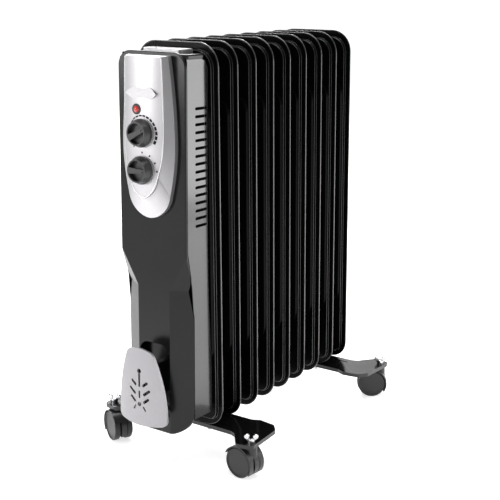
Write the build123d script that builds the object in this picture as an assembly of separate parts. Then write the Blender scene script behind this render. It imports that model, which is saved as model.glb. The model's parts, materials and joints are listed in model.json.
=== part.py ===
"""Oil filled radiator heater: nine welded steel fins on a castor foot at each end, and a control housing.

Millimetres, +Z up. The controls face -Y, the fins stack along +Y, and X is the width of a fin.
Every shape is first drawn with the seam plane of the first fin at Y = 0; save() then moves it by STACK_Y,
so that the middle of the whole heater's footprint is the origin.
"""
from build123d import *
import math
import os

# ---- driving dimensions: fin stack -------------------------------------------------------------------
STACK_Y = -136.837           # Y of the first fin's seam plane in the heater's own frame
FIN_COUNT = 9
FIN_PITCH = 43.0
FIN_WIDTH = 140.0
FIN_HEIGHT = 546.0
FIN_BOTTOM = 54.0
FIN_TOP_RADIUS = 32.0
FIN_BOTTOM_RADIUS = 28.0
SHEET = 0.8                # thickness of one pressed fin sheet
STEP_DEPTH = 4.5           # how far the first pressed step stands off the seam plane
STEP_INSET = 7.9           # from the fin's outer edge to the foot of the first step
CHANNEL_DEPTH = 9.0        # how far the raised channel stands off the seam plane
CHANNEL_HALF_WIDTH = 60.3
CHANNEL_BOTTOM = 150.0
CHANNEL_TOP = 522.0
CHANNEL_RADIUS = 22.0
DRAFT = 16.0               # slope of the pressed steps, degrees
UPPER_HEADER_Z = 556.0
LOWER_HEADER_Z = 116.0
UPPER_COLLAR_R = 17.0
LOWER_COLLAR_R = 24.0
COLLAR_WALL = 1.5

# ---- driving dimensions: control housing, drawn upright behind a front face at Y = 0, then leant back --
COVER_FACE_Y = -54.0       # front face at the top of the cover, before the lean
COVER_TOP = 590.0
COVER_BOTTOM = 58.0
COVER_HALF_WIDTH = 58.0
COVER_RADIUS = 21.0
COVER_FOOT_RADIUS = 34.0
COVER_WALL = 2.4
LEAN = 1.4                 # the front leans forward towards the foot, degrees
BEVEL_APEX_Z = 323.0       # top of the bevel that narrows the lower half of the front
BEVEL_FULL_Z = 268.0
BEVEL_FACE_X = 28.0
BEVEL_DEPTH = 16.5
UPPER_RIM = 3.0            # depth of the cover's side above the bevel
WELL_HALF_WIDTH = 26.5
WELL_TOP = 188.0
WELL_BOTTOM = 78.0
WELL_DEPTH = 13.0
PANEL_TOP = 585.0
PANEL_BOTTOM = 368.0
PANEL_EDGE = 6.5           # height of the panel's outer edge above the cover
PANEL_RIDGE = 15.5         # height of the ridge
PANEL_CROWN = 20.0         # height of the middle of the face
PANEL_SKIN = 2.6
KNOB_RADIUS = 19.0
KNOB_DEPTH = 11.5
THERMOSTAT_Z = 484.0
SELECTOR_Z = 434.5
SEAT_HEIGHT = 20.8         # flat seat under each knob
THERMOSTAT_BAR_ANGLE = 26.0
SELECTOR_BAR_ANGLE = 0.0
LAMP_X = -8.5
LAMP_Z = 515.0
SPINDLE_RADIUS = 3.0
RUNNING_GAP = 0.06
SIDE_SHEET = 1.0
SIDE_TOP = 581.0
SIDE_BOTTOM = 82.0
SIDE_REAR = 46.7
SLOT_COUNT = 16
SLOT_PITCH = 10.55
SLOT_TOP_Z = 516.5
SLOT_LENGTH = 24.5
SLOT_HEIGHT = 4.0
SLOT_MIDDLE = 32.2
PLATE_STANDOFF = 33.0      # crown of the cord wrap plate above the cover
PLATE_RADIUS = 118.0
PLATE_SKIN = 3.2

# ---- driving dimensions: foot brackets and castors ----------------------------------------------------
BRACKET_SHEET = 1.8
BRACKET_LIP = 4.0
BRACKET_TOP = FIN_BOTTOM
BRACKET_SHIFT = 3.0        # both brackets stand a little to the right of the fins' middle
STEM_X = 128.0
STEM_OFFSET = 16.0         # front castor stems in front of the first fin's seam plane
REAR_SHIFT = -5.0          # how much closer in the rear bracket stands than a mirror of the front one
STEM_RADIUS = 4.0
WHEEL_RADIUS = 22.3
WHEEL_WIDTH = 9.0
WHEEL_INNER_X = 5.0
TRAIL = 14.0
HOOD_INNER = 23.3
HOOD_OUTER = 25.0
HOOD_TOP = 47.8
AXLE_RADIUS = 2.5
CASTORS = {                # name: (side, end, direction from stem to wheel in degrees)
    "front_right": (1, 0, 174.0),
    "front_left": (-1, 0, -26.0),
    "rear_right": (1, 1, 212.0),
    "rear_left": (-1, 1, -104.2),
}

LAST_FIN_Y = (FIN_COUNT - 1) * FIN_PITCH


# ---- helpers -------------------------------------------------------------------------------------------
def save(name, *solids):
    """Move the shapes to the heater's own frame and write them as one node."""
    moved = [Pos(0, STACK_Y, 0) * solid for solid in solids]
    shape = moved[0] if len(moved) == 1 else Compound(children=moved)
    export_step(shape, f"parts/{name}.step")


def housing(shape):
    """Put a shape drawn behind an upright front face where the leaning housing has it."""
    return Pos(0, COVER_FACE_Y, COVER_TOP) * Rot(-LEAN, 0, 0) * Pos(0, 0, -COVER_TOP) * shape


def box(x0, x1, y0, y1, z0, z1):
    """A box between two corners."""
    middle = Pos((x0 + x1) / 2, (y0 + y1) / 2, (z0 + z1) / 2)
    return middle * Box(x1 - x0, y1 - y0, z1 - z0)


def rod_y(x, z, y0, y1, radius):
    """A round bar along Y."""
    return Pos(x, (y0 + y1) / 2, z) * Rot(90, 0, 0) * Cylinder(radius, y1 - y0)


def rod_z(x, y, z0, z1, radius):
    """A round bar along Z."""
    return Pos(x, y, (z0 + z1) / 2) * Cylinder(radius, z1 - z0)


def rod_x(x0, x1, y, z, radius):
    """A round bar along X."""
    return Pos((x0 + x1) / 2, y, z) * Rot(0, 90, 0) * Cylinder(radius, x1 - x0)


def upright(face, y):
    """Stand an XY drawing up in the XZ plane at a given Y, its normal along -Y."""
    return Plane(origin=(0, y, 0), x_dir=(1, 0, 0), z_dir=(0, -1, 0)) * face


def arched_rectangle(half_width, z0, z1, top_radius, bottom_radius):
    """A rectangle drawn in XY, Y standing for height, with its own radius at top and bottom."""
    face = Pos(0, (z0 + z1) / 2) * Rectangle(2 * half_width, z1 - z0)
    face = fillet(face.vertices().group_by(Axis.Y)[-1], top_radius)
    return fillet(face.vertices().group_by(Axis.Y)[0], bottom_radius)


def mirrored_outline(points):
    """A closed outline from the points of its right half, listed from the top to the bottom."""
    left = [(-x, z) for x, z in reversed(points) if x > 0]
    return make_face(Polyline(*points, *left, close=True))


# ---- fin stack -----------------------------------------------------------------------------------------
def step_solid(shrink, side):
    """The first pressed step on one side of the seam; shrink is the sheet thickness for the cavity."""
    slope = math.tan(math.radians(DRAFT))
    foot = arched_rectangle(
        FIN_WIDTH / 2 - STEP_INSET - shrink,
        FIN_BOTTOM + STEP_INSET + 2 + shrink,
        FIN_BOTTOM + FIN_HEIGHT - STEP_INSET - 2 - shrink,
        FIN_TOP_RADIUS - STEP_INSET - shrink,
        FIN_BOTTOM_RADIUS - STEP_INSET - 6 - shrink,
    )
    height = STEP_DEPTH - shrink
    top = offset(foot, -height * slope)
    return loft([upright(foot, 0), upright(top, side * height)])


def channel_solid(shrink, side):
    """The raised channel in the middle of one pressed sheet."""
    slope = math.tan(math.radians(DRAFT))
    foot = arched_rectangle(
        CHANNEL_HALF_WIDTH - shrink,
        CHANNEL_BOTTOM + shrink,
        CHANNEL_TOP - shrink,
        CHANNEL_RADIUS - shrink,
        CHANNEL_RADIUS - shrink,
    )
    start = STEP_DEPTH - 2 * SHEET
    height = CHANNEL_DEPTH - shrink - start
    top = offset(foot, -height * slope)
    return loft([upright(foot, side * start), upright(top, side * (start + height))])


def fin(index):
    """One fin: two pressed sheets seam welded round the edge, hollow inside, open at the headers."""
    rim = arched_rectangle(
        FIN_WIDTH / 2, FIN_BOTTOM, FIN_BOTTOM + FIN_HEIGHT, FIN_TOP_RADIUS, FIN_BOTTOM_RADIUS
    )
    body = extrude(upright(rim, SHEET), 2 * SHEET)
    for side in (-1, 1):
        body += step_solid(0, side) + channel_solid(0, side)
    for side in (-1, 1):
        body -= step_solid(SHEET, side) + channel_solid(SHEET, side)
    front = -STEP_DEPTH - 1
    back = STEP_DEPTH + 1 if index < FIN_COUNT - 1 else 0
    upper_front = front if index > 0 else 0
    if upper_front < back:
        body -= rod_y(0, UPPER_HEADER_Z, upper_front, back, UPPER_COLLAR_R - COLLAR_WALL)
    body -= rod_y(0, LOWER_HEADER_Z, front, back, LOWER_COLLAR_R - COLLAR_WALL)
    return Pos(0, index * FIN_PITCH, 0) * body


def collars(z, radius):
    """The short tubes that join each fin's oil space to the next one's."""
    tubes = []
    for gap in range(FIN_COUNT - 1):
        y0 = gap * FIN_PITCH + STEP_DEPTH
        y1 = (gap + 1) * FIN_PITCH - STEP_DEPTH
        tubes.append(rod_y(0, z, y0, y1, radius) - rod_y(0, z, y0 - 1, y1 + 1, radius - COLLAR_WALL))
    return tubes


def heating_element(z_offset, length):
    """A hairpin of sheathed heating rod lying in the lower header, its two ends in the flange."""
    rod = 4.0
    half = 11.0
    z = LOWER_HEADER_Z + z_offset
    legs = [rod_y(side * half, z, -22, length, rod) for side in (-1, 1)]
    bend = Pos(0, length, z) * (
        Torus(half, rod) & Pos(0, half, 0) * Box(4 * half, 2 * half, 3 * rod)
    )
    pins = [rod_y(side * half, z, -30, -22, 1.6) for side in (-1, 1)]
    element = legs[0] + legs[1] + bend
    return element + pins[0] + pins[1]


def element_flange():
    """Steel flange that closes the lower header and carries the heating elements."""
    flange = rod_y(0, LOWER_HEADER_Z, -STEP_DEPTH - 4, -STEP_DEPTH, LOWER_COLLAR_R + 4)
    for z_offset in (-8, 8):
        for x in (-11, 11):
            flange -= rod_y(x, LOWER_HEADER_Z + z_offset, -STEP_DEPTH - 5, -STEP_DEPTH + 1, 4.0)
    return flange


def oil_plug():
    """Hexagon plug in the filling hole of the first fin."""
    y = -STEP_DEPTH
    head = extrude(upright(Pos(0, UPPER_HEADER_Z) * RegularPolygon(7.5, 6), y - 2), 5)
    return head + rod_y(0, UPPER_HEADER_Z, y - 2, y, 9)


def overheat_cutout():
    """Snap disc cut-out clipped to the face of the first fin, with two blade terminals."""
    z = 190
    y = -CHANNEL_DEPTH
    body = rod_y(0, z, y - 6, y, 8)
    for x in (-5, 5):
        body += box(x - 1.5, x + 1.5, y - 9, y - 5, z + 3, z + 12)
    return body


# ---- control housing -----------------------------------------------------------------------------------
def bevel_cut(grow=0.0):
    """The wedge taken off the right front edge of the cover, coming to a point at the apex."""
    x0 = BEVEL_FACE_X
    x1 = COVER_HALF_WIDTH + 1
    y0 = -1.0
    lean = BEVEL_DEPTH / (COVER_HALF_WIDTH - BEVEL_FACE_X)
    corners = [(x0 - 1 / lean, y0), (x1, y0), (x1, (x1 - x0) * lean)]
    low = Plane.XY.offset(COVER_BOTTOM - 5) * make_face(Polyline(*corners, close=True))
    high = Plane.XY.offset(BEVEL_FULL_Z) * make_face(Polyline(*corners, close=True))
    wedge = extrude(low, BEVEL_FULL_Z - COVER_BOTTOM + 5)
    tip = Vertex(x1, y0, BEVEL_APEX_Z)
    return wedge + loft([high, tip])


def cover_block(inset, back):
    """The outside of the front cover as a full block, or its inside when inset is the wall."""
    outline = arched_rectangle(
        COVER_HALF_WIDTH - inset,
        COVER_BOTTOM + inset,
        COVER_TOP - inset,
        COVER_RADIUS - inset,
        COVER_FOOT_RADIUS - inset,
    )
    block = extrude(upright(outline, back), back - inset)
    return block


def front_cover():
    """Moulded front cover: rounded front, bevelled lower edges, cord well and control window."""
    back = BEVEL_DEPTH + 2.5
    cover = cover_block(0, back)
    cover = fillet(cover.edges().filter_by(Plane.XZ).group_by(Axis.Y)[0], 1.6)
    inside = cover_block(COVER_WALL, back + 1)
    cut = bevel_cut()
    for side in (1, -1):
        wedge = cut if side > 0 else mirror(cut, Plane.YZ)
        cover -= wedge
        inside -= Pos(-side * COVER_WALL, COVER_WALL, -COVER_WALL) * wedge
    well = arched_rectangle(WELL_HALF_WIDTH, WELL_BOTTOM, WELL_TOP, 15, 8)
    well_block = extrude(upright(well, WELL_DEPTH + COVER_WALL), WELL_DEPTH + COVER_WALL)
    well_shell = offset(well, COVER_WALL)
    inside -= extrude(upright(well_shell, WELL_DEPTH + COVER_WALL), WELL_DEPTH + COVER_WALL)
    cover -= inside
    cover -= Pos(0, -COVER_WALL, 0) * well_block
    above = box(-70, 70, UPPER_RIM, back + 2, BEVEL_APEX_Z - 2, COVER_TOP + 5)
    cover -= above
    cover -= rear_trim(back)
    window = Pos(0, 478) * Rectangle(54, 136)
    cover -= extrude(upright(fillet(window.vertices(), 8), COVER_WALL + 2), COVER_WALL + 4)
    cover -= rod_y(GLAND_X, GLAND_Z, WELL_DEPTH - 2, WELL_DEPTH + 8, GLAND_RADIUS)
    hub_seat = Pos(0, HUB_Z) * Rectangle(12, 30)
    cover -= extrude(upright(hub_seat, WELL_DEPTH + 8), 10)
    for x, z in COVER_BOSSES:
        boss = rod_y(x, z, COVER_WALL - 0.4, BOSS_BACK, 4.0) - rod_y(x, z, BOSS_BACK - 12, BOSS_BACK + 1, 2.2)
        cover += boss
    return housing(cover)


GLAND_X = 17.0
GLAND_Z = 92.0
GLAND_RADIUS = 6.0
HUB_Z = 134.0
BOSS_BACK = 24.0
COVER_BOSSES = [(side * 44.0, z) for side in (-1, 1) for z in (556.0, 346.0)]


def rear_trim(back):
    """Cuts the cover's side back to the seam line, which swings rearwards below the bevel's apex."""
    cut = make_face(
        Polyline(
            (UPPER_RIM, BEVEL_APEX_Z - 1.9),
            (BEVEL_DEPTH - 4.5, BEVEL_FULL_Z + 8),
            (BEVEL_DEPTH, BEVEL_FULL_Z - 40),
            (BEVEL_DEPTH + 0.5, COVER_BOTTOM - 5),
            (back + 3, COVER_BOTTOM - 5),
            (back + 3, BEVEL_APEX_Z - 1.9),
            close=True,
        )
    )
    side_view = Plane(origin=(-70, 0, 0), x_dir=(0, 1, 0), z_dir=(1, 0, 0)) * cut
    return extrude(side_view, 140)


def side_panel(side):
    """Steel side panel with its column of air slots near the rear edge."""
    outline = make_face(
        [
            Line((UPPER_RIM + 0.8, SIDE_TOP), (UPPER_RIM + 0.8, BEVEL_APEX_Z)),
            Line((UPPER_RIM + 0.8, BEVEL_APEX_Z), (BEVEL_DEPTH - 3.5, BEVEL_FULL_Z + 8)),
            Line((BEVEL_DEPTH - 3.5, BEVEL_FULL_Z + 8), (BEVEL_DEPTH + 0.9, BEVEL_FULL_Z - 40)),
            Line((BEVEL_DEPTH + 0.9, BEVEL_FULL_Z - 40), (BEVEL_DEPTH + 1.4, SIDE_BOTTOM)),
            Line((BEVEL_DEPTH + 1.4, SIDE_BOTTOM), (SIDE_REAR + 9.5, SIDE_BOTTOM)),
            Line((SIDE_REAR + 9.5, SIDE_BOTTOM), (SIDE_REAR + 9.5, 124)),
            Spline(
                (SIDE_REAR + 9.5, 124),
                (SIDE_REAR + 3.0, 240),
                (SIDE_REAR, 380),
                tangents=[(0, 1), (0, 1)],
            ),
            Line((SIDE_REAR, 380), (SIDE_REAR, SIDE_TOP)),
            Line((SIDE_REAR, SIDE_TOP), (UPPER_RIM + 0.8, SIDE_TOP)),
        ]
    )
    rear_top = outline.vertices().group_by(Axis.Y)[-1].sort_by(Axis.X)[-1]
    outline = fillet([rear_top], 16)
    for index in range(SLOT_COUNT):
        z = SLOT_TOP_Z - index * SLOT_PITCH
        outline -= Pos(SLOT_MIDDLE, z) * SlotOverall(SLOT_LENGTH, SLOT_HEIGHT)
    x = COVER_HALF_WIDTH - SIDE_SHEET if side > 0 else -COVER_HALF_WIDTH
    plane = Plane(origin=(x, 0, 0), x_dir=(0, 1, 0), z_dir=(1, 0, 0))
    return housing(extrude(plane * outline, SIDE_SHEET))


def back_plate():
    """Steel heat shield behind the controls, on four pressed feet against the first fin."""
    plate = box(-56.6, 56.6, -15, -14, 84, 577)
    plate -= rod_y(0, LOWER_HEADER_Z, -20, -10, 29)
    plate -= rod_y(0, UPPER_HEADER_Z, -20, -10, 11)
    plate -= box(-14, 14, -20, -10, 178, 203.6)
    for x, z in COVER_BOSSES:
        plate -= rod_y(x, z, -20, -10, 1.9)
    for x in (-35, 35):
        for z in (230, 480):
            plate += rod_y(x, z, -14, -CHANNEL_DEPTH, 6)
    for side in (-1, 1):
        for z0, z1 in ((100, 330), (535, 570)):
            x0, x1 = sorted((side * 55.6, side * 56.6))
            plate += box(x0, x1, -30, -14.5, z0, z1)
    return plate


def top_cap():
    """Black moulded top of the housing, with a finger pocket under the handle."""
    cap = box(-56.6, 56.6, UPPER_RIM + 0.8, 43, SIDE_TOP + 0.5, 587.5)
    cap = fillet(cap.edges().filter_by(Axis.Z), 5)
    cap = fillet(cap.edges().group_by(Axis.Z)[-1], 2.5)
    skirt = box(-55.8, 55.8, UPPER_RIM + 2, 38, 571, SIDE_TOP + 1)
    skirt -= box(-53.6, 53.6, UPPER_RIM + 4, 36, 570, SIDE_TOP - 1)
    cap += skirt
    cap -= box(-21, 21, 24, 36, 560, 600)
    tub = box(-23, 23, 22, 37.9, 566, 584) - box(-21, 21, 24, 36, 568, 600)
    return housing(cap + tub)


def carry_handle():
    """Silver handle frame on the top cap: two bars and two ends round a finger opening."""
    y0, y1 = 20.5, 49.0
    frame = box(-33.5, 33.5, y0, y1, 587.5, 593.0)
    frame = fillet(frame.edges().filter_by(Axis.Z), 4)
    frame = fillet(frame.edges().group_by(Axis.Z)[-1], 2)
    opening = box(-21, 21, 24, 36, 580, 600)
    frame -= fillet(opening.edges().filter_by(Axis.Z), 3)
    lugs = box(-28, -24, 26, 34, 583, 587.5) + box(24, 28, 26, 34, 583, 587.5)
    return housing(frame + (lugs - box(-60, 60, 0, 60, 570, 587.5)))


def bottom_plate():
    """Steel floor of the housing, with the lip that hooks on the first fin's foot."""
    plate = box(-55, 55, BEVEL_DEPTH + 4, 50.4, SIDE_BOTTOM, SIDE_BOTTOM + 1)
    for side in (-1, 1):
        x0, x1 = sorted((side * 55, side * 56.6))
        plate += box(x0, x1, BEVEL_DEPTH + 4, 50.4, SIDE_BOTTOM, SIDE_BOTTOM + 14)
    plate += box(30, 50, BEVEL_DEPTH + 4, BEVEL_DEPTH + 5, SIDE_BOTTOM - 9, SIDE_BOTTOM + 1)
    plate += box(-50, -30, BEVEL_DEPTH + 4, BEVEL_DEPTH + 5, SIDE_BOTTOM - 9, SIDE_BOTTOM + 1)
    return housing(plate)


def tongue(top, widest, shoulder, bottom, bulges):
    """A tall tongue with a flat top, from three arcs down its right side; bulges are their middles."""
    right = [
        ThreePointArc(top, bulges[0], widest),
        ThreePointArc(widest, bulges[1], shoulder),
        ThreePointArc(shoulder, bulges[2], bottom),
    ]
    left = [mirror(edge, Plane.YZ) for edge in right]
    return make_face([*right, *left, Line((-top[0], top[1]), top)])


def panel_outline(inner):
    """The control panel's outline, or that of the ridge inside it."""
    if inner:
        return tongue((31, 584), (33.2, 478), (24.5, 426), (0, 395), [(33.0, 530), (31.0, 450), (14.5, 404)])
    return tongue((34.5, 585), (45.2, 478), (36.5, 401), (0, 367.6), [(41.6, 532), (43.4, 438), (23.8, 377)])


def control_panel():
    """Silver control panel: sloping flank up to a ridge, crowned face, knob seats and a raised brow."""
    outer = panel_outline(0)
    ridge = panel_outline(1)
    panel = extrude(upright(outer, 0), PANEL_EDGE)
    panel += loft([upright(outer, -PANEL_EDGE), upright(ridge, -PANEL_RIDGE)])
    crown = Pos(0, CROWN_RADIUS - PANEL_CROWN, 475) * Cylinder(CROWN_RADIUS, 400)
    face = extrude(upright(ridge, -PANEL_RIDGE + 1), 12) & crown
    panel += face
    hollow = offset(panel_outline(1), -PANEL_SKIN)
    panel -= extrude(upright(hollow, 1), PANEL_RIDGE - 1)
    for z in (THERMOSTAT_Z, SELECTOR_Z):
        panel += rod_y(0, z, -SEAT_HEIGHT, -PANEL_RIDGE + 2, KNOB_RADIUS + 1)
        panel -= rod_y(0, z, -SEAT_HEIGHT - 2, 0, BUSH_RADIUS)
    panel += brow()
    panel -= rod_y(LAMP_X, LAMP_Z, -30, 0, LAMP_BARREL)
    panel -= rod_y(LAMP_X, LAMP_Z, -30, -PANEL_CROWN + 0.7, 7.1)
    return housing(panel)


CROWN_RADIUS = 130.0
BUSH_RADIUS = 5.0
LAMP_BARREL = 5.2


def brow():
    """Eye-shaped raised brow above the lamp: its crease stands proud along the middle."""
    middle, height, half = 536.0, 11.0, 26.0
    lens = make_face(
        [
            ThreePointArc((-half, middle), (-2, middle + height), (half, middle)),
            ThreePointArc((half, middle), (-2, middle - height), (-half, middle)),
        ]
    )
    prism = extrude(upright(lens, -PANEL_RIDGE + 1), 12)
    roof = make_face(
        Polyline(
            (-PANEL_CROWN + 2.6, middle + height + 4),
            (-PANEL_CROWN - 2.0, middle),
            (-PANEL_CROWN + 3.6, middle - height - 3),
            close=True,
        )
    )
    side_view = Plane(origin=(-40, 0, 0), x_dir=(0, 1, 0), z_dir=(1, 0, 0)) * roof
    return prism & extrude(side_view, 80)


def knob(z, bar_angle):
    """Round knob: skirt, sloping ring and a grip bar left standing between two D-shaped pockets."""
    back = -SEAT_HEIGHT - 0.5
    skirt = rod_y(0, 0, back - 3, back, KNOB_RADIUS)
    cone = Pos(0, back - 3 - (KNOB_DEPTH - 3) / 2, 0) * Rot(90, 0, 0) * Cone(
        KNOB_RADIUS - 0.6, KNOB_RADIUS - 3.4, KNOB_DEPTH - 3
    )
    body = skirt + cone
    pocket = rod_y(0, 0, back - KNOB_DEPTH - 1, back - 4.5, KNOB_RADIUS - 5.2)
    grip = make_face(Polyline((-19, -4.6), (-19, 4.6), (19, 2.0), (19, -2.0), close=True))
    bar = extrude(upright(grip, back), KNOB_DEPTH + 2)
    body -= pocket - bar
    pointer = box(KNOB_RADIUS - 9, KNOB_RADIUS - 4.6, back - KNOB_DEPTH, back - KNOB_DEPTH + 1, -0.8, 0.8)
    body -= pointer
    body -= rod_y(0, 0, back - 7.5, back + 1, SPINDLE_RADIUS)
    return housing(Pos(0, 0, z) * Rot(0, -bar_angle, 0) * body)


def spindle(z):
    """Control spindle, turning in its bush and pressed into its knob."""
    return housing(rod_y(0, z, -SEAT_HEIGHT - 8, -PANEL_RIDGE + 1 + 6, SPINDLE_RADIUS))


def switch_body(z, width, height, depth):
    """Thermostat or rotary switch behind the panel, with its threaded bush through the panel."""
    front = -PANEL_RIDGE + 2.3
    body = box(-width / 2, width / 2, front, front + depth, z - height / 2, z + height / 2)
    body = fillet(body.edges().filter_by(Axis.Y), 2)
    body += rod_y(0, z, -SEAT_HEIGHT, front, BUSH_RADIUS)
    body -= rod_y(0, z, -SEAT_HEIGHT - 1, front + 7, SPINDLE_RADIUS + RUNNING_GAP)
    for x in (-width / 4, width / 4):
        body += box(x - 2.4, x + 2.4, front + depth, front + depth + 8, z - 0.4, z + 0.4)
    return housing(body)


def lamp_parts():
    """Indicator lamp: black barrel with a bezel, and the red lens in it."""
    crown = -PANEL_CROWN + 0.2
    barrel = rod_y(LAMP_X, LAMP_Z, crown - 1.0, crown + 0.4, 7.0) + rod_y(LAMP_X, LAMP_Z, crown, -4, LAMP_BARREL)
    barrel -= rod_y(LAMP_X, LAMP_Z, crown - 2, -10, 4.4)
    lens = rod_y(LAMP_X, LAMP_Z, crown - 1.4, -11, 4.4)
    dome = Pos(LAMP_X, crown - 1.4 + 4.2, LAMP_Z) * Sphere(6.05)
    lens += dome & rod_y(LAMP_X, LAMP_Z, crown - 5, crown - 1, 4.4)
    return housing(barrel), housing(lens)


def terminal_block():
    """Screw terminal block on the back plate."""
    block = box(-24, 24, -31, -15, 204, 222)
    for x in (-15, 0, 15):
        block -= rod_z(x, -23, 215, 223, 2.6)
        block -= rod_y(x, 209, -32, -24, 2.2)
    return block


def cord_gland():
    """Bush in the floor of the cord well, where the supply cord would come out."""
    bush = rod_y(GLAND_X, GLAND_Z, WELL_DEPTH - 3, WELL_DEPTH, GLAND_RADIUS + 2)
    bush += rod_y(GLAND_X, GLAND_Z, WELL_DEPTH, WELL_DEPTH + 9, GLAND_RADIUS)
    bush += rod_y(GLAND_X, GLAND_Z, WELL_DEPTH + COVER_WALL + 0.2, WELL_DEPTH + 6, GLAND_RADIUS + 1)
    return housing(bush - rod_y(GLAND_X, GLAND_Z, WELL_DEPTH - 4, WELL_DEPTH + 10, GLAND_BORE))


GLAND_BORE = 3.9


def plate_crown(radius):
    """Upright cylinder that gives the cord wrap plate its crowned front."""
    return Pos(0, PLATE_RADIUS - PLATE_STANDOFF, 130) * Cylinder(radius, 200)


def cord_wrap_plate():
    """Silver plate that stands proud of the cord well and keeps the wound cord in place."""
    top, foot = (23.0, 183), (42.5, 81)
    right = ThreePointArc(top, (37.2, 137), foot)
    left = mirror(right, Plane.YZ)
    crown = ThreePointArc((-top[0], top[1]), (0, 189), top)
    hem = ThreePointArc((-foot[0], foot[1]), (0, 76.5), foot)
    outline = make_face([right, left, crown, hem])
    outline = fillet(outline.vertices().group_by(Axis.Y)[-1], 13)
    outline = fillet(outline.vertices().group_by(Axis.Y)[0], 9)
    slab = extrude(upright(outline, -PLATE_STANDOFF + 14), 20)
    plate = slab & (plate_crown(PLATE_RADIUS) - plate_crown(PLATE_RADIUS - PLATE_SKIN))
    cuts = vent_pattern()
    return housing(plate - extrude(upright(cuts, -PLATE_STANDOFF + 14), 20))


def vent_pattern():
    """Vent holes of the plate: an eye and stem on the middle line, with pairs of slanted slots."""
    pattern = Pos(0, 156) * Circle(3.4) + Pos(0, 143) * SlotOverall(20, 3.4, rotation=90)
    pattern += Pos(0, 108) * Circle(3.2) + Pos(0, 122) * SlotOverall(11, 3.0, rotation=90)
    for side in (-1, 1):
        for z, x, length in ((138, 10, 11), (126, 12.5, 14), (114, 11.5, 12)):
            pattern += Pos(side * x, z) * SlotOverall(length, 4.0, rotation=side * 38)
        pattern += Pos(side * 8.5, 102) * SlotOverall(8, 2.6, rotation=side * -55)
    return pattern


def cord_wrap_hub():
    """Black post between the floor of the cord well and the plate: the cord is wound round it."""
    outline = Pos(0, HUB_Z) * Rectangle(26, 48)
    post = extrude(upright(fillet(outline.vertices(), 10), WELL_DEPTH), WELL_DEPTH + 40)
    post &= plate_crown(PLATE_RADIUS - PLATE_SKIN)
    tenon = Pos(0, HUB_Z) * Rectangle(12, 30)
    post += extrude(upright(tenon, WELL_DEPTH + COVER_WALL + 3), COVER_WALL + 3)
    cavity = extrude(upright(Pos(0, HUB_Z) * Rectangle(8, 26), WELL_DEPTH + 6), WELL_DEPTH + 22)
    return housing(post - cavity)


def housing_screws():
    """Four screws through the back plate into the cover's bosses."""
    screws = []
    for x, z in COVER_BOSSES:
        screws.append(rod_y(x, z, -14, -12, 3.6) + rod_y(x, z, -36, -14, 1.6))
    return screws


# ---- foot brackets and castors -------------------------------------------------------------------------
def bracket_outline():
    """Foot bracket in plan, for the front end: a bar across under two fins with a wide ear at each end."""
    right = [(84, 47), (96, 52.5), (122, 49), (133.5, 36), (138, -27), (113, -33), (91, -6), (82, -2.5)]
    outline = mirrored_outline(right)
    inner = [v for v in outline.vertices() if 80 < abs(v.X) < 94]
    outline = fillet(inner, 3)
    outer = [v for v in outline.vertices() if abs(v.X) > 95]
    return fillet(outer, 6.5)


def foot_bracket(end):
    """Pressed foot bracket with a turned-down lip, holes for the stems and the clamp bolt."""
    outline = bracket_outline()
    sideways = BRACKET_SHIFT if end == 0 else -BRACKET_SHIFT
    top = Plane.XY.offset(BRACKET_TOP - BRACKET_SHEET) * outline
    low = Plane.XY.offset(BRACKET_TOP - BRACKET_SHEET - BRACKET_LIP) * outline
    bracket = extrude(top, BRACKET_SHEET)
    lip = extrude(low, BRACKET_LIP)
    inner = Plane.XY.offset(BRACKET_TOP - BRACKET_SHEET - BRACKET_LIP) * offset(outline, -BRACKET_SHEET)
    bracket += lip - extrude(inner, BRACKET_LIP)
    for side in (-1, 1):
        bracket -= rod_z(side * STEM_X, -STEM_OFFSET, 30, 60, STEM_RADIUS)
        bracket -= rod_z(side * CLAMP_HALF - sideways, FIN_PITCH / 2, 30, 60, CLAMP_ROD + 0.4)
        groove = Pos(side * 62, 10) * SlotOverall(36, 3.4)
        bracket -= Plane.XY.offset(BRACKET_TOP - 0.8) * extrude(groove, 2)
    return place_end(bracket, end, BRACKET_SHIFT)


CLAMP_HALF = LOWER_COLLAR_R + 4.0
CLAMP_ROD = 2.5


def place_end(shape, end, shift=0.0):
    """Leave a shape at the front end, or turn it half round to stand at the rear end."""
    if end == 0:
        return Pos(shift, 0, 0) * shape
    return Pos(shift, LAST_FIN_Y + REAR_SHIFT, 0) * Rot(0, 0, 180) * shape


def clamp_bolt():
    """U-bolt over the lower header between two fins, its threaded legs through the foot bracket."""
    arch = Pos(0, FIN_PITCH / 2, LOWER_HEADER_Z) * Rot(90, 0, 0) * Torus(CLAMP_HALF, CLAMP_ROD)
    bolt = arch & box(-60, 60, 0, FIN_PITCH, LOWER_HEADER_Z, LOWER_HEADER_Z + 60)
    for side in (-1, 1):
        bolt += rod_z(side * CLAMP_HALF, FIN_PITCH / 2, 34, LOWER_HEADER_Z, CLAMP_ROD)
    return bolt


def wing_nut(side):
    """Wing nut under the foot bracket."""
    top = BRACKET_TOP - BRACKET_SHEET
    x, y = side * CLAMP_HALF, FIN_PITCH / 2
    nut = rod_z(x, y, top - 7, top, 5)
    for wing in (-1, 1):
        nut += Pos(x + wing * 7.5, y, top - 7.5) * Rot(0, wing * 20, 0) * Box(9, 2.2, 9)
    nut &= box(x - 20, x + 20, y - 20, y + 20, 30, top)
    return nut - rod_z(x, y, 30, top + 1, CLAMP_ROD)


def stem_place(name):
    """Where a castor's stem stands, in the drawing frame."""
    side, end, _ = CASTORS[name]
    return side * STEM_X + BRACKET_SHIFT, (LAST_FIN_Y + REAR_SHIFT + STEM_OFFSET) if end else -STEM_OFFSET


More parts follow.
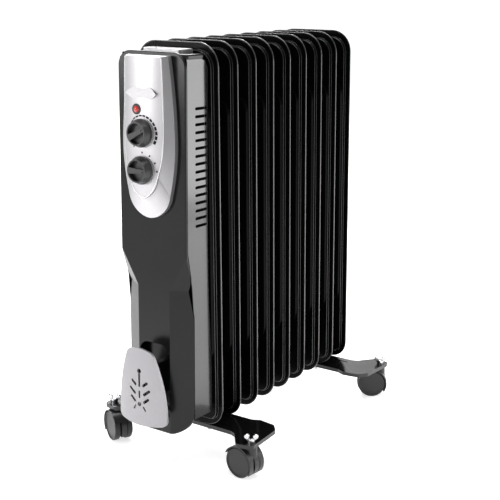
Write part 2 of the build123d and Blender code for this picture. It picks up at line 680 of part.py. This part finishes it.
def castor_stem(name):
    """Steel stem fixed in the foot bracket; the hood turns on its lower end."""
    x, y = stem_place(name)
    stem = rod_z(x, y, 33, 59, STEM_RADIUS)
    return stem + rod_z(x, y, HOOD_TOP + 0.3, BRACKET_TOP - BRACKET_SHEET, 7.0)


def stem_nut(name):
    """Wing nut that holds the stem on top of the bracket, its two rounded ears standing up."""
    x, y = stem_place(name)
    hub = rod_z(0, 0, BRACKET_TOP, BRACKET_TOP + 6.5, 5.2)
    nut = fillet(hub.edges().group_by(Axis.Z)[-1], 1.2)
    for wing in (-1, 1):
        ear = Pos(wing * 6.2, 0, BRACKET_TOP + 8.6) * Sphere(3.9)
        ear &= box(-20, 20, -2.3, 2.3, 50, 80)
        arm = Pos(wing * 4.6, 0, BRACKET_TOP + 4.8) * Rot(0, wing * 24, 0) * Box(4.4, 3.0, 8)
        nut += ear + (arm & box(-20, 20, -5, 5, BRACKET_TOP + 0.5, 80))
    nut -= rod_z(0, 0, 50, BRACKET_TOP + 5, STEM_RADIUS)
    return Pos(x, y, 0) * Rot(0, 0, 28) * nut


def castor_place(name, shape):
    """Turn a shape drawn round a stem at the origin, wheel towards -Y, to its castor's place."""
    x, y = stem_place(name)
    direction = CASTORS[name][2]
    return Pos(x, y, 0) * Rot(0, 0, direction + 90) * shape


def castor_hood(name):
    """Moulded hood: a half-round cover over both wheels, a middle web and the boss for the stem."""
    width = WHEEL_INNER_X + WHEEL_WIDTH + 0.6
    z = WHEEL_RADIUS
    shell = rod_x(-width, width, -TRAIL, z, HOOD_OUTER) - rod_x(-width - 1, width + 1, -TRAIL, z, HOOD_INNER)
    shell &= Pos(0, -TRAIL, z) * Rot(-30, 0, 0) * box(-30, 30, -60, 60, -1.5, 60)
    web = rod_x(-4.2, 4.2, -TRAIL, z, HOOD_OUTER - 1) & box(-30, 30, -60, 30, z - 13, 60)
    boss = rod_z(0, 0, 30, HOOD_TOP, 8.5)
    boss -= rod_x(WHEEL_INNER_X - 0.6, 30, -TRAIL, z, WHEEL_RADIUS + 1.2)
    boss -= rod_x(-30, -WHEEL_INNER_X + 0.6, -TRAIL, z, WHEEL_RADIUS + 1.2)
    hood = shell + web + boss
    notch = Pos(0, HOOD_OUTER - TRAIL, z) * Rot(0, 0, 45) * Box(11, 11, 60)
    keep = rod_z(0, 0, 0, 60, 8.5) + box(-4.2, 4.2, -60, 30, 0, 60)
    hood -= notch - keep
    hood -= rod_z(0, 0, 32.5, 60, STEM_RADIUS + RUNNING_GAP)
    hood -= rod_x(-30, 30, -TRAIL, z, AXLE_RADIUS)
    return castor_place(name, hood)


def castor_axle(name):
    """Steel axle fixed in the hood's web, carrying a wheel on each end."""
    half = WHEEL_INNER_X + WHEEL_WIDTH - 1.7
    return castor_place(name, rod_x(-half, half, -TRAIL, WHEEL_RADIUS, AXLE_RADIUS))


def castor_wheel(name, side):
    """Moulded wheel: flat tread, bevelled rim and a shallow dish in the outer face."""
    inner, outer = WHEEL_INNER_X, WHEEL_INNER_X + WHEEL_WIDTH
    wheel = rod_x(inner, outer, -TRAIL, WHEEL_RADIUS, WHEEL_RADIUS)
    wheel = chamfer(wheel.edges().filter_by(GeomType.CIRCLE), 1.2)
    wheel -= rod_x(outer - 0.8, outer + 1, -TRAIL, WHEEL_RADIUS, WHEEL_RADIUS - 3.5)
    wheel -= rod_x(inner - 1, outer - 1.3, -TRAIL, WHEEL_RADIUS, AXLE_RADIUS + RUNNING_GAP)
    if side < 0:
        wheel = mirror(wheel, Plane.YZ)
    return castor_place(name, wheel)


# ---- write every node ----------------------------------------------------------------------------------
def write_stack():
    for index in range(FIN_COUNT):
        save(f"fin_{index + 1}", fin(index))
    save("header_collars_upper", *collars(UPPER_HEADER_Z, UPPER_COLLAR_R))
    save("header_collars_lower", *collars(LOWER_HEADER_Z, LOWER_COLLAR_R))
    save("heating_element_low", heating_element(-8, 250))
    save("heating_element_high", heating_element(8, 300))
    save("element_flange", element_flange())
    save("oil_plug", oil_plug())
    save("overheat_cutout", overheat_cutout())


def write_housing():
    save("front_cover", front_cover())
    save("side_panel_left", side_panel(-1))
    save("side_panel_right", side_panel(1))
    save("back_plate", back_plate())
    save("top_cap", top_cap())
    save("bottom_plate", bottom_plate())
    save("carry_handle", carry_handle())
    save("control_panel", control_panel())
    lamp_barrel, lamp_lens = lamp_parts()
    save("lamp_barrel", lamp_barrel)
    save("lamp_lens", lamp_lens)
    save("thermostat_body", switch_body(THERMOSTAT_Z, 34, 30, 22))
    save("thermostat_spindle", spindle(THERMOSTAT_Z))
    save("thermostat_knob", knob(THERMOSTAT_Z, THERMOSTAT_BAR_ANGLE))
    save("power_switch_body", switch_body(SELECTOR_Z, 30, 14, 20))
    save("power_switch_spindle", spindle(SELECTOR_Z))
    save("power_knob", knob(SELECTOR_Z, SELECTOR_BAR_ANGLE))
    save("terminal_block", terminal_block())
    save("cord_gland", cord_gland())
    save("cord_wrap_hub", cord_wrap_hub())
    save("cord_wrap_plate", cord_wrap_plate())
    save("housing_screws", *housing_screws())


def write_feet():
    save("foot_bracket_front", foot_bracket(0))
    save("foot_bracket_rear", foot_bracket(1))
    save("clamp_bolts", *[place_end(clamp_bolt(), end) for end in (0, 1)])
    save("wing_nuts", *[place_end(wing_nut(side), end) for end in (0, 1) for side in (-1, 1)])
    save("castor_stems", *[castor_stem(name) for name in CASTORS])
    save("castor_nuts", *[stem_nut(name) for name in CASTORS])
    for name in CASTORS:
        save(f"castor_hood_{name}", castor_hood(name))
        save(f"castor_axle_{name}", castor_axle(name))
        save(f"wheel_a_{name}", castor_wheel(name, 1))
        save(f"wheel_b_{name}", castor_wheel(name, -1))


os.makedirs("parts", exist_ok=True)
write_stack()
write_housing()
write_feet()
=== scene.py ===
"""Oil filled radiator heater: materials, printed marks, beads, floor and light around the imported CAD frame.

Metres, in the CAD's own frame; lengths that end up times MM are millimetres.
"""
import bmesh
import bpy
import json
import math

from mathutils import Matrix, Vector
from mathutils.bvhtree import BVHTree


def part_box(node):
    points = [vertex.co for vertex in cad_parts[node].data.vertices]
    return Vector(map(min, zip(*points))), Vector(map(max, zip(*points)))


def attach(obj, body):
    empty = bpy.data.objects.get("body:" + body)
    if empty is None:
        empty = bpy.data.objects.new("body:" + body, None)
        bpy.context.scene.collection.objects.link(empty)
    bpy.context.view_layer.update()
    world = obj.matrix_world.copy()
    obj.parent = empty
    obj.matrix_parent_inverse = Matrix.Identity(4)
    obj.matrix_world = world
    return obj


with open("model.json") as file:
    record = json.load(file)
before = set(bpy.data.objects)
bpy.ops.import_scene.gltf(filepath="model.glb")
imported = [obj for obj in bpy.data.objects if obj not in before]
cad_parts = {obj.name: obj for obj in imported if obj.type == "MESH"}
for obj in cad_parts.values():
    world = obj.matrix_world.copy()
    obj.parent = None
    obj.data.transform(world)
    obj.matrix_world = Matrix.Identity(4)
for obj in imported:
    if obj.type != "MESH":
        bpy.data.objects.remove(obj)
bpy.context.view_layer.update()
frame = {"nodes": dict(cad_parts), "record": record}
nodes = frame["nodes"]
joints = {joint["name"]: joint for joint in frame["record"]["behaviour"]["joints"]}
MM = 0.001


# ---- camera, at the photograph's angle -----------------------------------------------------------------
def make_camera():
    data = bpy.data.cameras.new("camera")
    data.lens = 76.9
    data.sensor_width = 36
    data.shift_x = -0.0538
    data.shift_y = -0.0266
    camera = bpy.data.objects.new("camera", data)
    camera.location = (0.934, -1.2707, 0.695)
    camera.rotation_euler = (math.radians(75.9), 0, math.radians(34.2))
    bpy.context.collection.objects.link(camera)
    bpy.context.scene.camera = camera
    bpy.context.scene.view_settings.view_transform = "Standard"


make_camera()


# ---- material helpers ----------------------------------------------------------------------------------
class Maker:
    """Builds one node material, its textures in object space so that every view sees the same surface."""

    def __init__(self, name, color, metallic=0.0, roughness=0.4, **sockets):
        self.material = bpy.data.materials.new(name)
        self.material.use_nodes = True
        self.tree = self.material.node_tree
        self.shader = self.tree.nodes["Principled BSDF"]
        self.shader.inputs["Base Color"].default_value = (*color, 1)
        self.shader.inputs["Metallic"].default_value = metallic
        self.shader.inputs["Roughness"].default_value = roughness
        for socket, value in sockets.items():
            self.shader.inputs[socket.replace("_", " ")].default_value = value
        self.coords = self.tree.nodes.new("ShaderNodeTexCoord").outputs["Object"]
        self.height = None

    def link(self, a, b):
        self.tree.links.new(a, b)

    def noise(self, scale, detail=3.0, roughness=0.55, stretch=None):
        texture = self.tree.nodes.new("ShaderNodeTexNoise")
        texture.inputs["Scale"].default_value = scale
        texture.inputs["Detail"].default_value = detail
        texture.inputs["Roughness"].default_value = roughness
        source = self.coords
        if stretch:
            mapping = self.tree.nodes.new("ShaderNodeMapping")
            mapping.inputs["Scale"].default_value = stretch
            self.link(source, mapping.inputs["Vector"])
            source = mapping.outputs["Vector"]
        self.link(source, texture.inputs["Vector"])
        return texture.outputs["Fac"]

    def cells(self, scale):
        texture = self.tree.nodes.new("ShaderNodeTexVoronoi")
        texture.inputs["Scale"].default_value = scale
        self.link(self.coords, texture.inputs["Vector"])
        return texture.outputs["Color"]

    def ramp(self, value, low, high, start=0.3, end=0.7):
        ramp = self.tree.nodes.new("ShaderNodeMapRange")
        ramp.inputs["From Min"].default_value = start
        ramp.inputs["From Max"].default_value = end
        ramp.inputs["To Min"].default_value = low
        ramp.inputs["To Max"].default_value = high
        self.link(value, ramp.inputs["Value"])
        return ramp.outputs["Result"]

    def vary_roughness(self, value, low, high, start=0.3, end=0.7):
        self.link(self.ramp(value, low, high, start, end), self.shader.inputs["Roughness"])

    def vary_color(self, value, dark, light, start=0.3, end=0.7):
        mix = self.tree.nodes.new("ShaderNodeMix")
        mix.data_type = "RGBA"
        mix.inputs["A"].default_value = (*dark, 1)
        mix.inputs["B"].default_value = (*light, 1)
        self.link(self.ramp(value, 0, 1, start, end), mix.inputs["Factor"])
        self.link(mix.outputs["Result"], self.shader.inputs["Base Color"])

    def paint_flank_shade(self, amount):
        """Painted shade: takes the base colour down where the surface turns to the object's left or right."""
        base = self.shader.inputs["Base Color"].links[0].from_socket
        normal = self.tree.nodes.new("ShaderNodeTexCoord").outputs["Normal"]
        split = self.tree.nodes.new("ShaderNodeSeparateXYZ")
        self.link(normal, split.inputs["Vector"])
        size = self.tree.nodes.new("ShaderNodeMath")
        size.operation = "ABSOLUTE"
        self.link(split.outputs["X"], size.inputs[0])
        shade = self.ramp(size.outputs["Value"], 1.0, 1.0 - amount, 0.12, 0.55)
        mix = self.tree.nodes.new("ShaderNodeMix")
        mix.data_type = "RGBA"
        mix.blend_type = "MULTIPLY"
        mix.inputs["Factor"].default_value = 1.0
        self.link(base, mix.inputs["A"])
        self.link(shade, mix.inputs["B"])
        self.link(mix.outputs["Result"], self.shader.inputs["Base Color"])

    def bump(self, value, distance, strength=1.0):
        bump = self.tree.nodes.new("ShaderNodeBump")
        bump.inputs["Distance"].default_value = distance
        bump.inputs["Strength"].default_value = strength
        self.link(value, bump.inputs["Height"])
        if self.height:
            self.link(self.height, bump.inputs["Normal"])
        self.height = bump.outputs["Normal"]
        self.link(self.height, self.shader.inputs["Normal"])


def enamel(name, color, roughness, coat, specular=0.5, peel=0.00004):
    """Baked enamel on pressed steel: faint orange peel, a few cloudier patches."""
    m = Maker(name, color, 0.0, roughness, Coat_Weight=coat, Coat_Roughness=0.1, Specular_IOR_Level=specular)
    m.vary_roughness(m.noise(18), roughness * 0.85, roughness * 1.2)
    m.bump(m.noise(420, 2), peel)
    m.bump(m.noise(55, 2), peel * 1.5)
    return m.material


def silver(name, color, roughness=0.3, flank_shade=0.0):
    """Silver lacquer: fine metal flake under a clear top coat; steep flanks can get painted shade, a darker
    base colour.
    """
    m = Maker(name, color, 0.55, roughness, Coat_Weight=0.3, Coat_Roughness=0.12)
    flake = m.cells(3600)
    m.vary_color(flake, tuple(c * 0.9 for c in color), tuple(min(1, c * 1.08) for c in color), 0.2, 0.8)
    # Painted shade: the base colour is darkened on flanks that turn to the left or right.
    if flank_shade:
        m.paint_flank_shade(flank_shade)
    m.vary_roughness(m.noise(900, 2), roughness * 0.85, roughness * 1.2)
    m.bump(m.noise(300, 2), 0.00003)
    return m.material


def moulded(name, color, roughness, grain=900, depth=0.00004, coat=0.0, specular=0.5):
    """Moulded plastic: fine spark-eroded grain and slightly uneven gloss."""
    m = Maker(name, color, 0.0, roughness, Coat_Weight=coat, Coat_Roughness=0.06, Specular_IOR_Level=specular)
    m.vary_roughness(m.noise(26), roughness * 0.85, roughness * 1.25)
    m.bump(m.noise(grain, 3), depth)
    return m.material


def metal(name, color, roughness, stretch=(1, 1, 1)):
    """Plated steel: faint drawing lines and small changes of brightness."""
    m = Maker(name, color, 1.0, roughness)
    m.vary_roughness(m.noise(160, 3, stretch=stretch), roughness * 0.7, roughness * 1.5)
    m.vary_color(m.noise(60, 3), tuple(c * 0.82 for c in color), color)
    m.bump(m.noise(700, 2, stretch=stretch), 0.00002)
    return m.material


def lens_red():
    """Red lamp lens with rings moulded on its inside."""
    m = Maker("lens_red", (0.62, 0.012, 0.01), 0.0, 0.12, Coat_Weight=1.0, Coat_Roughness=0.03)
    m.shader.inputs["Subsurface Weight"].default_value = 0.15
    m.shader.inputs["Subsurface Scale"].default_value = 0.002
    m.vary_color(m.noise(700), (0.42, 0.006, 0.006), (0.7, 0.02, 0.015))
    m.bump(m.noise(500), 0.00005)
    return m.material


MATERIALS = {
    "fin": enamel("fin_enamel", (0.0016, 0.0016, 0.0018), 0.24, 0.0, 0.06),
    "steel": enamel("bracket_enamel", (0.004, 0.004, 0.0042), 0.16, 0.2, 0.4),
    "side": enamel("side_enamel", (0.012, 0.012, 0.0125), 0.2, 0.55, 0.5, 0.00002),
    "cover": moulded("cover_black", (0.004, 0.004, 0.0042), 0.2, 1100, 0.00001, 0.0, 0.27),
    # The last number is painted shade on the panel's flanks.
    "silver": silver("panel_silver", (0.57, 0.555, 0.575), 0.38, 0.55),
    # A lighter copy of the panel silver, a painted highlight along the crest bead.
    "ridge": silver("ridge_highlight_silver", (0.75, 0.74, 0.75), 0.2),
    # Same black enamel as the fins but with a lighter base colour, a painted highlight along the beads.
    "bead": enamel("seam_enamel_highlight", (0.02, 0.02, 0.021), 0.16, 0.6, 0.8, 0.00001),
    "plate": silver("plate_silver", (0.31, 0.3, 0.315), 0.4),
    "knob": moulded("knob_black", (0.026, 0.026, 0.027), 0.34, 1400, 0.00002, 0.0),
    "lens": lens_red(),
    "chrome": metal("bright_chrome", (0.6, 0.6, 0.62), 0.14),
    "zinc": metal("zinc_plate", (0.5, 0.51, 0.52), 0.3, (1, 1, 8)),
    "sheath": metal("element_sheath", (0.32, 0.3, 0.28), 0.42, (1, 12, 1)),
    "hood": moulded("castor_hood_black", (0.017, 0.017, 0.0175), 0.32, 1000, 0.00002, 0.0, 0.42),
    "wheel": moulded("castor_wheel_black", (0.02, 0.02, 0.021), 0.42, 900, 0.00003, 0.0, 0.35),
    # Black for the inner parts: partly their own colour, partly painted shade, as the back plate seen through
    # the vent slots is made black for the shade inside the housing.
    "dark": moulded("inner_black_and_shade", (0.012, 0.012, 0.0125), 0.5, 800, 0.00006),
    "ivory": moulded("terminal_ivory", (0.5, 0.46, 0.38), 0.45, 800, 0.00005),
    "print": moulded("panel_print", (0.004, 0.004, 0.0042), 0.6, 1500, 0.00001, 0.0, 0.2),
}


def material_for(name):
    if name.startswith(("fin_", "header_collars")):
        return "fin"
    if name.startswith("castor_hood"):
        return "hood"
    if name.startswith("wheel_"):
        return "wheel"
    if name.startswith("side_panel"):
        return "side"
    if name.startswith("heating_element"):
        return "sheath"
    table = {
        "foot_bracket_front": "steel", "foot_bracket_rear": "steel", "front_cover": "cover",
        "top_cap": "cover", "cord_wrap_hub": "cover", "cord_gland": "dark", "control_panel": "silver",
        "carry_handle": "silver", "cord_wrap_plate": "plate", "thermostat_knob": "knob",
        "power_knob": "knob", "lamp_lens": "lens", "lamp_barrel": "dark", "castor_nuts": "chrome",
        # back_plate takes the inner black as painted shade inside the housing, seen through the vent slots.
        "back_plate": "dark", "bottom_plate": "dark", "castor_stems": "zinc",
        "thermostat_body": "dark", "power_switch_body": "dark", "terminal_block": "ivory",
        "overheat_cutout": "dark",
    }
    return table.get(name, "zinc")


for name, node in nodes.items():
    node.data.materials.clear()
    node.data.materials.append(MATERIALS[material_for(name)])


# ---- printed marks on the control panel ----------------------------------------------------------------
# Offsets on the panel are millimetres (u to the right, v up) from a knob's middle.
RIGHT = Vector((1, 0, 0))
OUT = Vector(joints["thermostat_turn"]["axis"]).normalized()
UP = OUT.cross(RIGHT).normalized()
THERMOSTAT = Vector(joints["thermostat_turn"]["pos_m"])
SELECTOR = Vector(joints["power_turn"]["pos_m"])

PROBE_START = 0.08            # how far in front of the panel its surface is looked for, metres
PRINT_THICKNESS = 0.00018
PRINT_DEPTH = 0.0001
DASH_COUNT = 12
DASH_RADIUS = 21.8
DASH_START, DASH_END = 148.0, -38.0     # degrees round the thermostat knob, clockwise
DASH_FILL = 0.76
DASH_WIDTH, DASH_GROWTH = 1.5, 2.2      # of the first dash, and how much wider the last one is
STOP_TICKS = (212, 232)
SELECTOR_TICKS = (90, 58, 28, 0)


def surface_tree(name):
    mesh = nodes[name].data
    return BVHTree.FromPolygons([v.co for v in mesh.vertices], [p.vertices for p in mesh.polygons])


panel_tree = surface_tree("control_panel")


def drop(origin, u, v):
    """The panel's surface point at the offset (u, v) from origin."""
    start = origin + RIGHT * u * MM + UP * v * MM + OUT * PROBE_START
    return panel_tree.ray_cast(start, -OUT)[0]


def arc_patch(r0, r1, a0, a1, steps=6):
    """Edge curves of a patch between two radii and two angles, in degrees."""
    angles = [math.radians(a0 + (a1 - a0) * i / steps) for i in range(steps + 1)]
    inner = [(r0 * math.cos(a), r0 * math.sin(a)) for a in angles]
    outer = [(r1 * math.cos(a), r1 * math.sin(a)) for a in angles]
    return inner, outer


def add_mark(bm, origin, edges):
    """A thin printed patch on the panel between two edge curves, each a list of (u, v)."""
    rows = [[drop(origin, u, v) for u, v in edge] for edge in edges]
    low = [[bm.verts.new(p - OUT * PRINT_DEPTH) for p in row] for row in rows]
    top = [[bm.verts.new(p + OUT * PRINT_THICKNESS) for p in row] for row in rows]
    last = len(rows[0]) - 1
    for i in range(last):
        bm.faces.new((top[0][i], top[1][i], top[1][i + 1], top[0][i + 1]))
        bm.faces.new((low[0][i], low[0][i + 1], low[1][i + 1], low[1][i]))
        bm.faces.new((top[0][i], top[0][i + 1], low[0][i + 1], low[0][i]))
        bm.faces.new((top[1][i + 1], top[1][i], low[1][i], low[1][i + 1]))
    bm.faces.new((top[0][0], low[0][0], low[1][0], top[1][0]))
    bm.faces.new((top[1][last], low[1][last], low[0][last], top[0][last]))


def add_tick(bm, origin, r0, r1, angle, half_angle):
    add_mark(bm, origin, arc_patch(r0, r1, angle - half_angle, angle + half_angle, 2))


def panel_marks():
    bm = bmesh.new()
    span = (DASH_END - DASH_START) / DASH_COUNT
    for i in range(DASH_COUNT):
        start = DASH_START + span * i
        width = DASH_WIDTH + DASH_GROWTH * i / (DASH_COUNT - 1)
        add_mark(bm, THERMOSTAT, arc_patch(DASH_RADIUS, DASH_RADIUS + width, start, start + span * DASH_FILL))
    for angle in STOP_TICKS:
        add_tick(bm, THERMOSTAT, 22.4, 24.8, angle, 2.4)
    for angle in SELECTOR_TICKS:
        add_tick(bm, SELECTOR, 22.2, 24.6, angle, 2.6)
    bmesh.ops.recalc_face_normals(bm, faces=bm.faces)
    mesh = bpy.data.meshes.new("panel_marks")
    bm.to_mesh(mesh)
    bm.free()
    mesh.materials.append(MATERIALS["print"])
    marks = bpy.data.objects.new("panel_marks", mesh)
    bpy.context.collection.objects.link(marks)
    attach(marks, "heater")


panel_marks()


# ---- beads and rolled edges --------------------------------------------------------------------------
def rounded_outline(half, low, high, top_radius, bottom_radius, steps=9):
    """Points of a rounded upright rectangle in X and Z, millimetres, once round."""
    corners = [
        (half - top_radius, high - top_radius, top_radius, 0),
        (-half + top_radius, high - top_radius, top_radius, 90),
        (-half + bottom_radius, low + bottom_radius, bottom_radius, 180),
        (half - bottom_radius, low + bottom_radius, bottom_radius, 270),
    ]
    points = []
    for cx, cz, radius, start in corners:
        for i in range(steps + 1):
            a = math.radians(start + 90 * i / steps)
            points.append((cx + radius * math.cos(a), cz + radius * math.sin(a)))
    return points


def tube(name, lines, material, closed=True):
    """Round beads along lines of (points in metres, radius in metres), as one mesh piece."""
    data = bpy.data.curves.new(name, "CURVE")
    data.dimensions = "3D"
    data.bevel_depth = 1.0
    data.bevel_resolution = 1
    for points, radius in lines:
        spline = data.splines.new("POLY")
        spline.points.add(len(points) - 1)
        spline.use_cyclic_u = closed
        for point, place in zip(spline.points, points):
            point.co = (*place, 1)
            point.radius = radius
    curve = bpy.data.objects.new(name, data)
    bpy.context.collection.objects.link(curve)
    bpy.context.view_layer.update()
    mesh = bpy.data.meshes.new_from_object(curve.evaluated_get(bpy.context.evaluated_depsgraph_get()))
    bpy.data.objects.remove(curve)
    mesh.materials.clear()
    mesh.materials.append(material)
    mesh.shade_smooth()
    piece = bpy.data.objects.new(name, mesh)
    bpy.context.collection.objects.link(piece)
    return piece


# Beads on one side of a fin: inset from the fin's outline at the sides and at the ends, corner radius
# at the top and at the bottom, distance from the seam plane, bead radius. All in millimetres.
SEAM_BEAD = (0.5, 0.5, 32, 28, 0.0, 1.0)
STEP_BEADS = ((7.8, 9.8, 24.2, 14.2, 0.9, 0.4), (9.3, 11.3, 22.8, 12.8, 4.3, 0.5))

# The right half of the crest on the control panel, from its top to its tip, as (u, v) from the thermostat.
CREST = [(31.0, 98.5), (33.1, 46), (33.1, -6), (30.8, -34), (24.3, -58), (14.5, -80), (0.0, -88.6)]
CREST_RADIUS = 0.0009
CREST_SINK = 0.0003


def fin_beads():
    """The rolled seam round each fin, and the rounded shoulders of its pressed steps, in an enamel lighter
    than the fin's, a painted highlight along these edges.
    """
    for index in range(1, 10):
        low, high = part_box(f"fin_{index}")
        half = (high[0] - low[0]) / 2 / MM
        bottom, top = low[2] / MM, high[2] / MM
        seam = (low[1] + high[1]) / 2 / MM
        beads = [SEAM_BEAD]
        for side in (-1, 1):
            beads += [(*bead[:4], side * bead[4], bead[5]) for bead in STEP_BEADS]
        lines = []
        for inset, inset_z, top_radius, bottom_radius, y, radius in beads:
            ends = (bottom + inset_z, top - inset_z)
            outline = rounded_outline(half - inset, *ends, top_radius, bottom_radius)
            lines.append(([(x * MM, (seam + y) * MM, z * MM) for x, z in outline], radius * MM))
        piece = tube(f"fin_bead_{index}", lines, MATERIALS["bead"])
        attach(piece, "heater")


def smooth_points(points):
    """Points along a smooth curve that is guided by the given points."""
    data = bpy.data.curves.new("guide", "CURVE")
    data.dimensions = "3D"
    spline = data.splines.new("NURBS")
    spline.points.add(len(points) - 1)
    for point, (u, v) in zip(spline.points, points):
        point.co = (u, v, 0, 1)
    spline.order_u = 3
    spline.use_endpoint_u = True
    spline.resolution_u = 8
    guide = bpy.data.objects.new("guide", data)
    bpy.context.collection.objects.link(guide)
    bpy.context.view_layer.update()
    mesh = bpy.data.meshes.new_from_object(guide.evaluated_get(bpy.context.evaluated_depsgraph_get()))
    bpy.data.objects.remove(guide)
    return [(v.co.x, v.co.y) for v in mesh.vertices]


def panel_ridge():
    """The rounded crest between the control panel's face and its flank, in a lighter silver than the panel, a
    painted highlight along the crest.
    """
    outline = CREST + [(-u, v) for u, v in reversed(CREST[:-1])]
    places = [drop(THERMOSTAT, u, v) - OUT * CREST_SINK for u, v in smooth_points(outline)]
    piece = tube("panel_ridge", [(places, CREST_RADIUS)], MATERIALS["ridge"], closed=False)
    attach(piece, "heater")


fin_beads()
panel_ridge()


# ---- floor, light --------------------------------------------------------------------------------------
def fade_along(tree, source, direction, start, end, low, high):
    """A value that goes from low to high as the coordinate along direction goes from start to end."""
    along = tree.nodes.new("ShaderNodeVectorMath")
    along.operation = "DOT_PRODUCT"
    tree.links.new(source, along.inputs[0])
    along.inputs[1].default_value = direction
    fade = tree.nodes.new("ShaderNodeMapRange")
    fade.interpolation_type = "SMOOTHSTEP"
    fade.inputs["From Min"].default_value = start
    fade.inputs["From Max"].default_value = end
    fade.inputs["To Min"].default_value = low
    fade.inputs["To Max"].default_value = high
    tree.links.new(along.outputs["Value"], fade.inputs["Value"])
    return fade.outputs["Result"]


FLOOR_SIZE = 60
FLOOR_GAP = 0.0002
FLOOR_GLOW = 0.65


def make_floor():
    """A pale floor that glows a little, with painted shade: darker colour and weaker glow in front on the
    left.
    """
    bpy.ops.mesh.primitive_plane_add(size=FLOOR_SIZE, location=(0, 0, -FLOOR_GAP))
    floor = bpy.context.object
    floor.name = "floor"
    m = Maker("floor_pale_painted_shade", (0.86, 0.86, 0.86), 0.0, 0.85)
    m.shader.inputs["Specular IOR Level"].default_value = 0.1
    m.shader.inputs["Emission Color"].default_value = (1, 1, 1, 1)
    # Painted shade on the floor: colour and glow fall off in front on the left, and the glossy front surfaces
    # reflect it.
    fade = fade_along(m.tree, m.coords, (0.64, 0.77, 0), -1.4, -0.6, 0.6, 1.0)
    glow = m.tree.nodes.new("ShaderNodeMath")
    glow.operation = "MULTIPLY"
    m.link(fade, glow.inputs[0])
    glow.inputs[1].default_value = FLOOR_GLOW
    m.link(glow.outputs["Value"], m.shader.inputs["Emission Strength"])
    m.vary_color(fade, (0.6, 0.6, 0.6), (0.86, 0.86, 0.86), 0.6, 1.0)
    floor.data.materials.append(m.material)


def area_light(name, place, target, width, height, watts):
    """A soft box that the camera doesn't see itself."""
    data = bpy.data.lights.new(name, "AREA")
    data.energy = watts
    data.shape = "RECTANGLE"
    data.size = width
    data.size_y = height
    light = bpy.data.objects.new(name, data)
    light.location = place
    light.rotation_euler = (Vector(place) - Vector(target)).to_track_quat("Z", "Y").to_euler()
    light.visible_camera = False
    bpy.context.collection.objects.link(light)


def make_world():
    """A white backdrop behind the object, and greyer surroundings elsewhere."""
    world = bpy.data.worlds.new("studio")
    bpy.context.scene.world = world
    world.use_nodes = True
    tree = world.node_tree
    background = tree.nodes["Background"]
    background.inputs["Color"].default_value = (1, 1, 1, 1)
    direction = tree.nodes.new("ShaderNodeTexCoord").outputs["Generated"]
    fade = fade_along(tree, direction, (-0.56, 0.83, 0), 0.86, 0.965, 0.5, 1.2)
    tree.links.new(fade, background.inputs["Strength"])


LIGHTS = [  # name, place, what it points at, width, height, watts
    ("key_left", (-1.5, -2.3, 0.9), (0, -0.15, 0.4), 1.0, 1.0, 26),
    ("back_left", (-1.8, 2.0, 2.2), (0, 0, 0.2), 1.6, 1.6, 90),
    ("side_box", (0.95, 1.05, 0.42), (0.05, -0.1, 0.36), 0.9, 0.7, 6.5),
    ("top", (0.2, 0.4, 2.6), (0, 0, 0.3), 1.8, 1.8, 60),
]


make_floor()
make_world()
for light_settings in LIGHTS:
    area_light(*light_settings)

bpy.context.view_layer.update()
